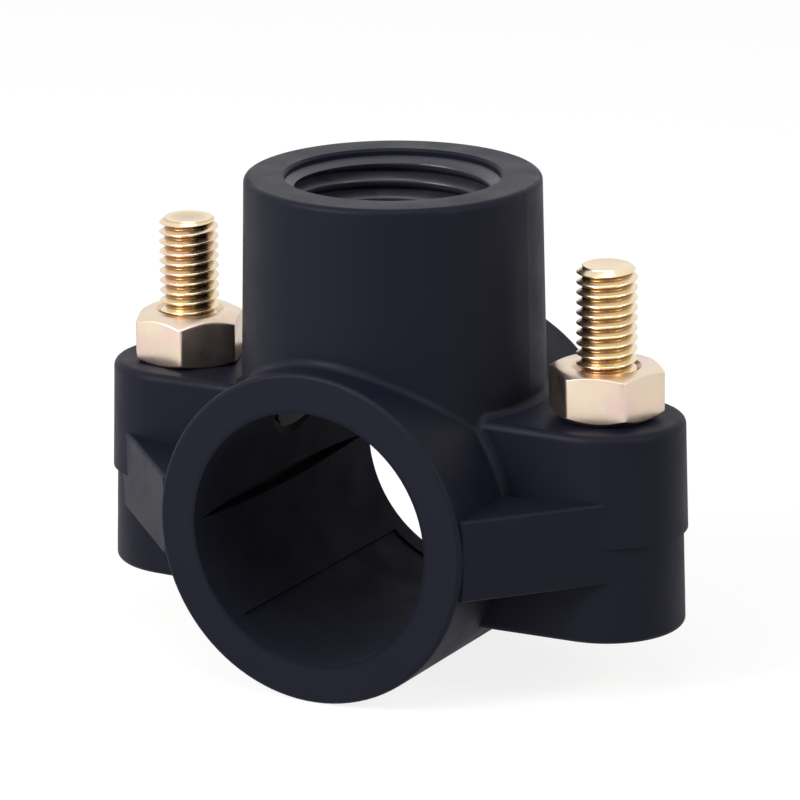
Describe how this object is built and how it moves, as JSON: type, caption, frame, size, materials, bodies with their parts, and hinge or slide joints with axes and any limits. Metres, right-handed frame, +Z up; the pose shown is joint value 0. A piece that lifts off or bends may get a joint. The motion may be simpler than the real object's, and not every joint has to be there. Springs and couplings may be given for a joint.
{
  "type": "tapping saddle",
  "caption": "Two-part bolted clamp saddle that fits round a plastic pipe and gives it a threaded branch outlet, with a rubber seal at the tapping hole.",
  "frame": {"origin": "on the pipe axis, in the middle of the sleeve, straight under the outlet's axis", "axes": "+Y along the pipe, +Z up the outlet socket, X through both bolts; the parting plane is Z = 0"},
  "size_m": [0.0622, 0.0352, 0.0486],
  "materials": {
    "moulded_body": "moulded black polypropylene, satin",
    "seal_rubber": "black nitrile rubber, matt",
    "plated_steel": "yellow zinc plated steel"
  },
  "bodies": {
    "lower_half": {"lower_saddle": "moulded_body", "bolt_left": "plated_steel", "bolt_right": "plated_steel"},
    "upper_half": {"upper_saddle": "moulded_body", "seal_ring": "seal_rubber"},
    "left_nut": {"nut_left": "plated_steel"},
    "right_nut": {"nut_right": "plated_steel"}
  },
  "joints": [
    {"name": "clamp_open", "type": "slide", "parent": "lower_half", "child": "upper_half", "axis": [0, 0, 1], "range_m": [0, 0.009]},
    {"name": "nut_left_turn", "type": "hinge", "parent": "upper_half", "child": "left_nut", "pos_m": [-0.02314, 0, 0.0135], "axis": [0, 0, 1], "range_deg": [0, 3240]},
    {"name": "nut_right_turn", "type": "hinge", "parent": "upper_half", "child": "right_nut", "pos_m": [0.02314, 0, 0.0135], "axis": [0, 0, 1], "range_deg": [0, 3240]}
  ],
  "couplings": [
    {"joint": "nut_left_turn", "follows": "clamp_open", "rad_per_m": 6283.2},
    {"joint": "nut_right_turn", "follows": "clamp_open", "rad_per_m": 6283.2}
  ]
}
